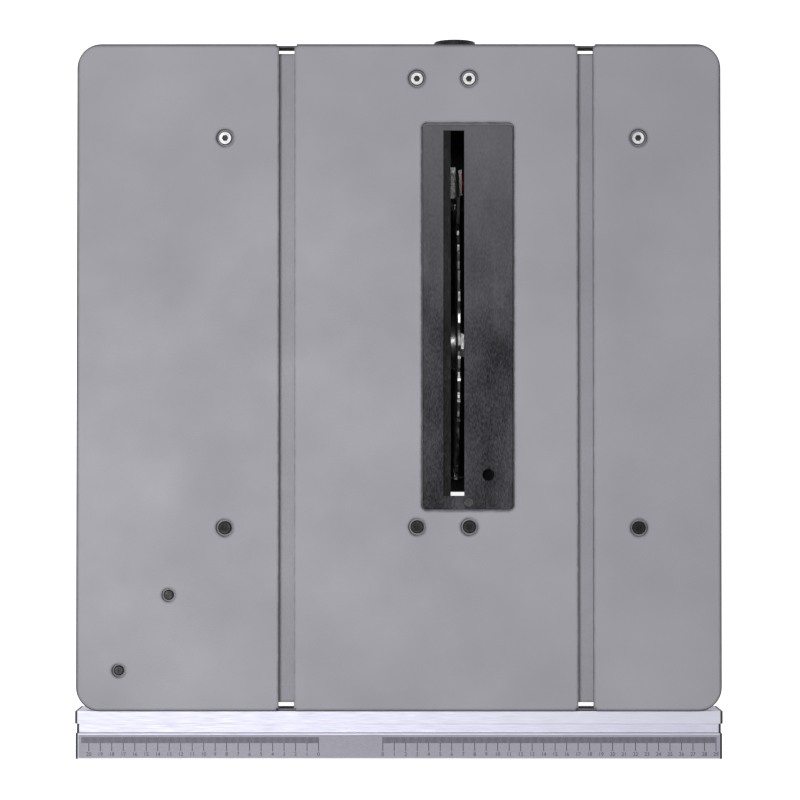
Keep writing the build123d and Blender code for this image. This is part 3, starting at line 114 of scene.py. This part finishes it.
# ---- finishes ----
NOISE_RANGE = (0.36, 0.64)
BLOTCH_DETAIL = 4.0
BLOTCH_ROUGHNESS = 0.6
GRAIN_DETAIL = 2.0
BUMP_STRENGTH = 0.6
SPECULAR_LEVEL = 0.3
# how far a rounded normal leans at the start of an edge and where the edge is complete
EDGE_LEAN = (0.996, 0.88)
EDGE_SAMPLES = 4
# edge wear, and on the table coat painted shade at the edges, comes in patches: noise scale, its detail,
# the range of noise and the share of the edge colour it gives
WEAR_AND_SHADE_PATCH_SCALE = 120.0
WEAR_AND_SHADE_PATCH_DETAIL = 3.0
WEAR_AND_SHADE_PATCH_RANGE = (0.30, 0.60)
WEAR_AND_SHADE_PATCH_SHARE = (0.45, 1.0)

# slot: darker colour, lighter colour, blotch scale, grain scale,
#       stretch, roughness where light and where dark, bump height, metallic
FINISHES = {
    "table_coat": (
        (0.296, 0.292, 0.326), (0.352, 0.348, 0.386), 7, 1300,
        (1, 1, 1), (0.42, 0.62), 0.00004, 0.0,
    ),
    "insert_black": (
        (0.006, 0.006, 0.009), (0.052, 0.051, 0.060), 46, 900,
        (1, 0.35, 1), (0.58, 0.82), 0.00004, 0.0,
    ),
    "zinc_screw": (
        (0.40, 0.40, 0.41), (0.66, 0.66, 0.67), 300, 2600,
        (1, 1, 1), (0.40, 0.58), 0.00001, 0.7,
    ),
    "black_screw": (
        (0.010, 0.010, 0.011), (0.034, 0.034, 0.036), 260, 2600,
        (1, 1, 1), (0.35, 0.60), 0.00002, 0.3,
    ),
    "rail_aluminium": (
        (0.58, 0.58, 0.68), (0.67, 0.67, 0.77), 8, 1900,
        (0.03, 1, 1), (0.40, 0.56), 0.00001, 0.35,
    ),
    "scale_film": (
        (0.30, 0.295, 0.355), (0.36, 0.355, 0.42), 10, 1600,
        (0.2, 1, 1), (0.40, 0.56), 0.00001, 0.0,
    ),
    "black_plastic": (
        (0.014, 0.014, 0.015), (0.036, 0.036, 0.038), 45, 1800,
        (1, 1, 1), (0.42, 0.64), 0.00003, 0.0,
    ),
    "housing_plastic": (
        (0.050, 0.054, 0.058), (0.092, 0.097, 0.103), 14, 1150,
        (1, 1, 1), (0.48, 0.70), 0.00006, 0.0,
    ),
    "frame_plastic": (
        (0.026, 0.027, 0.029), (0.058, 0.060, 0.063), 16, 1150,
        (1, 1, 1), (0.50, 0.72), 0.00006, 0.0,
    ),
    "rubber": (
        (0.012, 0.012, 0.012), (0.034, 0.033, 0.032), 60, 1600,
        (1, 1, 1), (0.70, 0.90), 0.00007, 0.0,
    ),
    "cast_aluminium": (
        (0.22, 0.22, 0.23), (0.95, 0.95, 0.97), 260, 620,
        (1, 1, 1), (0.42, 0.66), 0.00014, 0.30,
    ),
    "steel": (
        (0.36, 0.36, 0.36), (0.60, 0.60, 0.60), 40, 2400,
        (1, 1, 1), (0.24, 0.42), 0.00001, 1.0,
    ),
    "zinc_sheet": (
        (0.42, 0.43, 0.43), (0.66, 0.67, 0.66), 70, 1700,
        (1, 1, 1), (0.32, 0.50), 0.00002, 1.0,
    ),
    "blade_steel": (
        (0.06, 0.06, 0.06), (0.42, 0.42, 0.43), 70, 900,
        (1, 1, 1), (0.34, 0.54), 0.00002, 1.0,
    ),
    "knife_steel": (
        (0.26, 0.26, 0.27), (0.46, 0.46, 0.47), 36, 2400,
        (1, 1, 0.3), (0.30, 0.46), 0.00001, 1.0,
    ),
    "bronze": (
        (0.40, 0.27, 0.11), (0.66, 0.48, 0.24), 50, 2200,
        (1, 1, 1), (0.28, 0.44), 0.00001, 1.0,
    ),
    "grip_red": (
        (0.33, 0.016, 0.014), (0.50, 0.034, 0.028), 40, 1500,
        (1, 1, 1), (0.40, 0.58), 0.00004, 0.0,
    ),
    "start_green": (
        (0.012, 0.22, 0.05), (0.03, 0.36, 0.09), 60, 1900,
        (1, 1, 1), (0.22, 0.36), 0.00002, 0.0,
    ),
    "stop_red": (
        (0.42, 0.010, 0.010), (0.62, 0.022, 0.020), 50, 1900,
        (1, 1, 1), (0.22, 0.36), 0.00002, 0.0,
    ),
    "scale_plate": (
        (0.58, 0.58, 0.59), (0.76, 0.76, 0.77), 40, 1700,
        (1, 1, 1), (0.30, 0.44), 0.00001, 0.0,
    ),
    "copper_core": (
        (0.14, 0.13, 0.12), (0.34, 0.31, 0.28), 60, 1500,
        (0.15, 1, 1), (0.40, 0.60), 0.00008, 0.8,
    ),
    "gear_steel": (
        (0.22, 0.22, 0.23), (0.42, 0.42, 0.43), 90, 2000,
        (1, 1, 1), (0.26, 0.44), 0.00002, 1.0,
    ),
}
# slot: colour that edges take (worn edges, and on the table coat painted shade), how much of it, and the
# edge's width in metres
EDGE_WEAR_AND_SHADE = {
    # painted shade: the table coat's edges and chamfers darkened nearly to black
    "table_coat": ((0.060, 0.058, 0.070), 0.95, 0.0034),
    "insert_black": ((0.004, 0.004, 0.005), 0.80, 0.0009),
    "rail_aluminium": ((0.52, 0.52, 0.60), 0.60, 0.0006),
    "housing_plastic": ((0.150, 0.155, 0.160), 0.40, 0.0010),
    "frame_plastic": ((0.120, 0.122, 0.126), 0.40, 0.0010),
    "black_plastic": ((0.085, 0.085, 0.090), 0.40, 0.0007),
    "cast_aluminium": ((0.80, 0.80, 0.82), 0.60, 0.0007),
    "zinc_sheet": ((0.86, 0.86, 0.86), 0.40, 0.0005),
    "gear_steel": ((0.72, 0.72, 0.73), 0.60, 0.0004),
    "grip_red": ((0.58, 0.090, 0.070), 0.40, 0.0007),
}

# where colour changes by place: widths of the table's rim that gets painted shade, and depths below a
# top face where recesses get painted shade
SIDE_RIM = 0.0030
REAR_RIM = 0.0034
LEDGE_SHADE_DEPTH = (0.0006, 0.0012)
SOCKET_SHADE_DEPTH = (0.0003, 0.0009)
# painted shade: colours the table's rim is darkened to, at the sides and front, and darker still at the
# rear
SIDE_RIM_SHADE_COLOUR = (0.050, 0.050, 0.058)
REAR_RIM_SHADE_COLOUR = (0.040, 0.040, 0.048)
# painted shade: colour taken by faces that lean away from level, such as the table's chamfers, sides and
# groove walls
UPRIGHT_SHADE_COLOUR = (0.045, 0.044, 0.052)
# painted sheen: the insert is lightened towards the rear
SHEEN_COLOUR = (0.150, 0.148, 0.165)
SHEEN_FROM = 0.02
SHEEN_FULL = 0.22
# painted shade: near-black given to the front screw heads, the same screws as the zinc rear ones
FRONT_SCREW_SHADE = (0.012, 0.012, 0.013)

# slot: places where the colour changes: axis, where it starts, where it is complete, colour, how much.
# Slope is 1 on a level face and 0 on an upright one.
PLACES = {
    "insert_black": (
        # painted sheen: lighter towards the rear
        ("Y", SHEEN_FROM, SHEEN_FULL, SHEEN_COLOUR, 0.66),
        # painted shade: the recess ledge below the insert's top face made near-black
        ("Z", insert_top - LEDGE_SHADE_DEPTH[0], insert_top - LEDGE_SHADE_DEPTH[1], (0.001, 0.001, 0.002), 0.98),
    ),
    "zinc_screw": (
        # painted shade: the front screw heads made near-black, the rear ones keep the zinc colour
        ("Y", 0.03, 0.0, FRONT_SCREW_SHADE, 1.0),
        # painted shade: the hex sockets darkened below the head top
        ("Z", screw_top - SOCKET_SHADE_DEPTH[0], screw_top - SOCKET_SHADE_DEPTH[1], (0.006, 0.006, 0.007), 0.96),
    ),
    "table_coat": (
        # painted shade: the table's rim darkened on all four sides
        ("X", table_low.x + SIDE_RIM, table_low.x, SIDE_RIM_SHADE_COLOUR, 0.62),
        ("X", table_high.x - SIDE_RIM, table_high.x, SIDE_RIM_SHADE_COLOUR, 0.62),
        ("Y", table_high.y - REAR_RIM, table_high.y, REAR_RIM_SHADE_COLOUR, 0.80),
        ("Y", table_low.y + SIDE_RIM, table_low.y, SIDE_RIM_SHADE_COLOUR, 0.62),
        # painted shade on faces that lean away from level
        ("Slope", 0.96, 0.80, UPRIGHT_SHADE_COLOUR, 0.85),
    ),
}


# ---- materials ----
def link(tree, output, target):
    tree.links.new(output, target)


def noise(tree, coordinates, scale, detail, roughness=0.55):
    node = tree.nodes.new("ShaderNodeTexNoise")
    node.inputs["Scale"].default_value = scale
    node.inputs["Detail"].default_value = detail
    node.inputs["Roughness"].default_value = roughness
    link(tree, coordinates, node.inputs["Vector"])
    return node.outputs["Fac"]


def remap(tree, value, from_low, from_high, to_low, to_high):
    node = tree.nodes.new("ShaderNodeMapRange")
    link(tree, value, node.inputs["Value"])
    node.inputs["From Min"].default_value = from_low
    node.inputs["From Max"].default_value = from_high
    node.inputs["To Min"].default_value = to_low
    node.inputs["To Max"].default_value = to_high
    return node.outputs["Result"]


def combine(tree, kind, first, second):
    node = tree.nodes.new("ShaderNodeMath")
    node.operation = kind
    for socket, value in zip(node.inputs, (first, second)):
        if isinstance(value, (int, float)):
            socket.default_value = value
        else:
            link(tree, value, socket)
    return node.outputs[0]


def blend_colours(tree, factor, first, second):
    node = tree.nodes.new("ShaderNodeMix")
    node.data_type = "RGBA"
    link(tree, factor, node.inputs["Factor"])
    sockets = [s for s in node.inputs if s.type == "RGBA"]
    for socket, value in zip(sockets, (first, second)):
        if isinstance(value, tuple):
            socket.default_value = (*value, 1.0)
        else:
            link(tree, value, socket)
    return [s for s in node.outputs if s.type == "RGBA"][0]


def edge_mask(tree, width):
    """1 on edges and 0 on open faces, from how far a rounded normal leans from the real one."""
    rounded = tree.nodes.new("ShaderNodeBevel")
    rounded.samples = EDGE_SAMPLES
    rounded.inputs["Radius"].default_value = width
    real = tree.nodes.new("ShaderNodeNewGeometry")
    lean = tree.nodes.new("ShaderNodeVectorMath")
    lean.operation = "DOT_PRODUCT"
    link(tree, rounded.outputs["Normal"], lean.inputs[0])
    link(tree, real.outputs["Normal"], lean.inputs[1])
    return remap(tree, lean.outputs["Value"], *EDGE_LEAN, 0.0, 1.0)


def tint_by_place(tree, where, colour, places):
    """Blends in another colour along an axis or by slope: painted sheen, painted shade, and parts that
    differ by place.
    """
    axes = tree.nodes.new("ShaderNodeSeparateXYZ")
    link(tree, where, axes.inputs["Vector"])
    facing = tree.nodes.new("ShaderNodeSeparateXYZ")
    link(tree, tree.nodes.new("ShaderNodeNewGeometry").outputs["Normal"], facing.inputs["Vector"])
    for axis, start, full, other, strength in places:
        value = facing.outputs["Z"] if axis == "Slope" else axes.outputs[axis]
        amount = remap(tree, value, start, full, 0.0, strength)
        colour = blend_colours(tree, amount, colour, other)
    return colour


def surface(name, dark, light, blotch, grain, stretch, roughness, bump, metallic,
            edge_wear_and_shade=None, places=()):
    material = bpy.data.materials.new(name)
    material.use_nodes = True
    tree = material.node_tree
    shader = tree.nodes["Principled BSDF"]
    place = tree.nodes.new("ShaderNodeTexCoord")
    mapping = tree.nodes.new("ShaderNodeMapping")
    mapping.inputs["Scale"].default_value = stretch
    link(tree, place.outputs["Object"], mapping.inputs["Vector"])
    where = mapping.outputs["Vector"]
    blotches = noise(tree, where, blotch, BLOTCH_DETAIL, BLOTCH_ROUGHNESS)
    grains = noise(tree, where, grain, GRAIN_DETAIL)
    mixed = combine(tree, "MULTIPLY", combine(tree, "ADD", blotches, grains), 0.5)
    amount = remap(tree, mixed, *NOISE_RANGE, 0.0, 1.0)
    colour = blend_colours(tree, amount, dark, light)
    # edges take a worn colour, and on the table coat painted shade
    if edge_wear_and_shade:
        worn_and_shaded_colour, strength, width = edge_wear_and_shade
        patches = noise(tree, where, WEAR_AND_SHADE_PATCH_SCALE, WEAR_AND_SHADE_PATCH_DETAIL)
        patchy = remap(tree, patches, *WEAR_AND_SHADE_PATCH_RANGE, *WEAR_AND_SHADE_PATCH_SHARE)
        edge = combine(tree, "MULTIPLY", edge_mask(tree, width), patchy)
        colour = blend_colours(tree, combine(tree, "MULTIPLY", edge, strength), colour, worn_and_shaded_colour)
    if places:
        colour = tint_by_place(tree, place.outputs["Object"], colour, places)
    link(tree, colour, shader.inputs["Base Color"])
    shader.inputs["Metallic"].default_value = metallic
    shader.inputs["Specular IOR Level"].default_value = SPECULAR_LEVEL
    smooth, rough = roughness
    link(tree, remap(tree, mixed, *NOISE_RANGE, rough, smooth), shader.inputs["Roughness"])
    height = tree.nodes.new("ShaderNodeBump")
    height.inputs["Strength"].default_value = BUMP_STRENGTH
    height.inputs["Distance"].default_value = bump
    link(tree, grains, height.inputs["Height"])
    link(tree, height.outputs["Normal"], shader.inputs["Normal"])
    return material


def dress(node, material):
    mesh = frame["nodes"][node].data
    if not mesh.materials:
        mesh.materials.append(material)
    for index in range(len(mesh.materials)):
        mesh.materials[index] = material


def make_finishes():
    return {
        slot: surface(slot, *values, edge_wear_and_shade=EDGE_WEAR_AND_SHADE.get(slot), places=PLACES.get(slot, ()))
        for slot, values in FINISHES.items()
    }


finishes = make_finishes()
slot_of = {row["node"]: row["material_slot"] for row in frame["record"]["subparts"]}
for node_name in frame["nodes"]:
    dress(node_name, finishes[slot_of[node_name]])


# ---- pieces ----
def new_piece(name, mesh, material, body):
    piece = bpy.data.objects.new(name, mesh)
    bpy.context.scene.collection.objects.link(piece)
    mesh.materials.clear()
    mesh.materials.append(material)
    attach(piece, body)
    return piece


def add_bar(shape, x0, x1, y0, y1, z0, z1):
    corners = [Vector((x, y, z)) for x in (x0, x1) for y in (y0, y1) for z in (z0, z1)]
    verts = [shape.verts.new(c) for c in corners]
    for face in ((0, 1, 3, 2), (4, 6, 7, 5), (0, 4, 5, 1), (2, 3, 7, 6), (0, 2, 6, 4), (1, 5, 7, 3)):
        shape.faces.new([verts[i] for i in face])


def text_mesh(text, height):
    """The outline of a numeral as a flat mesh, centred on the origin and `height` tall."""
    curve = bpy.data.curves.new("numeral", "FONT")
    curve.body = text
    curve.align_x = "CENTER"
    curve.align_y = "CENTER"
    curve.size = height * FONT_SIZE_TO_HEIGHT
    maker = bpy.data.objects.new("numeral_maker", curve)
    bpy.context.scene.collection.objects.link(maker)
    bpy.context.view_layer.update()
    mesh = bpy.data.meshes.new_from_object(maker)
    bpy.data.objects.remove(maker)
    return mesh


def scale_marks():
    """(zero, direction, centimetres, millimetres after the last) for the two halves of the scale."""
    return (
        (LEFT_ZERO_X, -1, LEFT_CENTIMETRES, LEFT_EXTRA_MILLIMETRES),
        (RIGHT_ZERO_X, 1, RIGHT_CENTIMETRES, RIGHT_EXTRA_MILLIMETRES),
    )


def make_graduations():
    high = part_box("rail_scale")[1]
    shape = bmesh.new()
    rear = high.y - FINE_TICK_FROM_REAR
    z0, z1 = high.z, high.z + GRADUATION_LIFT
    for zero, way, count, extra in scale_marks():
        for step in range(count * 10 + extra + 1):
            x = zero + way * step * MILLIMETRE
            add_bar(shape, x - FINE_TICK_HALF, x + FINE_TICK_HALF, rear - FINE_TICK_LENGTH, rear, z0, z1)
            if step % 10 == 0:
                add_bar(shape, x - LONG_TICK_HALF, x + LONG_TICK_HALF,
                        rear - FINE_TICK_LENGTH - LONG_TICK_LENGTH, rear - FINE_TICK_LENGTH, z0, z1)
    mesh = bpy.data.meshes.new("scale_graduations")
    shape.to_mesh(mesh)
    shape.free()
    return mesh


def make_numerals():
    low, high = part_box("rail_scale")
    shape = bmesh.new()
    y = low.y + DIGIT_FROM_FRONT + DIGIT_HEIGHT / 2
    for zero, way, count, _ in scale_marks():
        for number in range(count + 1):
            x = zero + way * number * 10 * MILLIMETRE
            digits = text_mesh(str(number), DIGIT_HEIGHT)
            digits.transform(Matrix.Translation((x, y, high.z + GRADUATION_LIFT)))
            shape.from_mesh(digits)
            bpy.data.meshes.remove(digits)
    mesh = bpy.data.meshes.new("scale_numerals")
    shape.to_mesh(mesh)
    shape.free()
    return mesh


def bevel_turn(degrees):
    """Turns a shape that hangs below the tilt pivot to its place on the scale, 0 at the pointer."""
    pivot = Vector(((blade_low.x + blade_high.x) / 2, 0.0, table_high.z - PIVOT_BELOW_TABLE))
    low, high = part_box("bevel_pointer")
    at_rest = math.atan2((low.x + high.x) / 2 - pivot.x, pivot.z - (low.z + high.z) / 2)
    return Matrix.Translation(pivot) @ Matrix.Rotation(-at_rest - math.radians(degrees), 4, "Y")


def make_bevel_marks():
    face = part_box("bevel_scale")[0].y
    shape = bmesh.new()
    for degree in range(BEVEL_DEGREES + 1):
        length = BEVEL_LONG_TICK if degree % 5 == 0 else BEVEL_TICK
        tick = bmesh.new()
        add_bar(tick, -BEVEL_TICK_HALF, BEVEL_TICK_HALF, face - GRADUATION_LIFT, face,
                -BEVEL_INNER_RADIUS - length, -BEVEL_INNER_RADIUS)
        mesh = bpy.data.meshes.new("tick")
        tick.to_mesh(mesh)
        tick.free()
        mesh.transform(bevel_turn(degree))
        shape.from_mesh(mesh)
        bpy.data.meshes.remove(mesh)
    for degree in range(0, BEVEL_DEGREES + 1, 15):
        digits = text_mesh(str(degree), BEVEL_DIGIT_HEIGHT)
        place = Matrix.Translation((0.0, face - GRADUATION_LIFT, -BEVEL_DIGIT_RADIUS))
        digits.transform(bevel_turn(degree) @ place @ Matrix.Rotation(math.pi / 2, 4, "X"))
        shape.from_mesh(digits)
        bpy.data.meshes.remove(digits)
    mesh = bpy.data.meshes.new("bevel_marks")
    shape.to_mesh(mesh)
    shape.free()
    return mesh


print_ink = surface("scale_ink", (0.030, 0.030, 0.040), (0.060, 0.060, 0.075), 90, 1800, (1, 1, 1),
                    (0.40, 0.55), 0.00001, 0.0)
new_piece("scale_graduations", make_graduations(), print_ink, "base")
new_piece("scale_numerals", make_numerals(), print_ink, "base")
new_piece("bevel_marks", make_bevel_marks(), print_ink, "base")


# ---- stage ----
def make_floor():
    shape = bmesh.new()
    bmesh.ops.create_grid(shape, x_segments=1, y_segments=1, size=FLOOR_SIZE / 2)
    mesh = bpy.data.meshes.new("floor")
    shape.to_mesh(mesh)
    shape.free()
    floor = bpy.data.objects.new("floor", mesh)
    floor.location.z = cad_box[0].z - FLOOR_GAP
    bpy.context.scene.collection.objects.link(floor)
    material = bpy.data.materials.new("floor_white")
    material.use_nodes = True
    shader = material.node_tree.nodes["Principled BSDF"]
    shader.inputs["Base Color"].default_value = FLOOR_COLOUR
    shader.inputs["Roughness"].default_value = FLOOR_ROUGHNESS
    shader.inputs["Specular IOR Level"].default_value = 0.0
    shader.inputs["Emission Color"].default_value = (1.0, 1.0, 1.0, 1.0)
    shader.inputs["Emission Strength"].default_value = FLOOR_GLOW
    mesh.materials.append(material)


def make_light(name, place, size, power):
    data = bpy.data.lights.new(name, "AREA")
    data.shape = "RECTANGLE"
    data.size, data.size_y = size
    data.energy = power
    light = bpy.data.objects.new(name, data)
    light.location = place
    aim = Vector((0.0, 0.0, table_high.z)) - light.location
    light.rotation_euler = aim.to_track_quat("-Z", "Y").to_euler()
    bpy.context.scene.collection.objects.link(light)


def make_world():
    world = bpy.data.worlds.new("studio")
    world.use_nodes = True
    background = world.node_tree.nodes["Background"]
    background.inputs["Color"].default_value = SKY
    background.inputs["Strength"].default_value = SKY_STRENGTH
    bpy.context.scene.world = world


def make_camera():
    data = bpy.data.cameras.new("camera")
    data.lens = CAMERA_LENS
    data.clip_end = CAMERA_FAR
    camera = bpy.data.objects.new("camera", data)
    target = Vector((*CAMERA_AIM, table_high.z))
    camera.location = target + Vector((0.0, -CAMERA_TOWARDS_FRONT, CAMERA_DISTANCE))
    camera.rotation_euler = (target - camera.location).to_track_quat("-Z", "Y").to_euler()
    bpy.context.scene.collection.objects.link(camera)
    bpy.context.scene.camera = camera


make_floor()
make_world()
make_light("key", KEY_PLACE, KEY_SIZE, KEY_POWER)
make_light("top", TOP_PLACE, TOP_SIZE, TOP_POWER)
make_light("side", SIDE_PLACE, SIDE_SIZE, SIDE_POWER)
make_camera()
bpy.context.scene.view_settings.view_transform = "Standard"
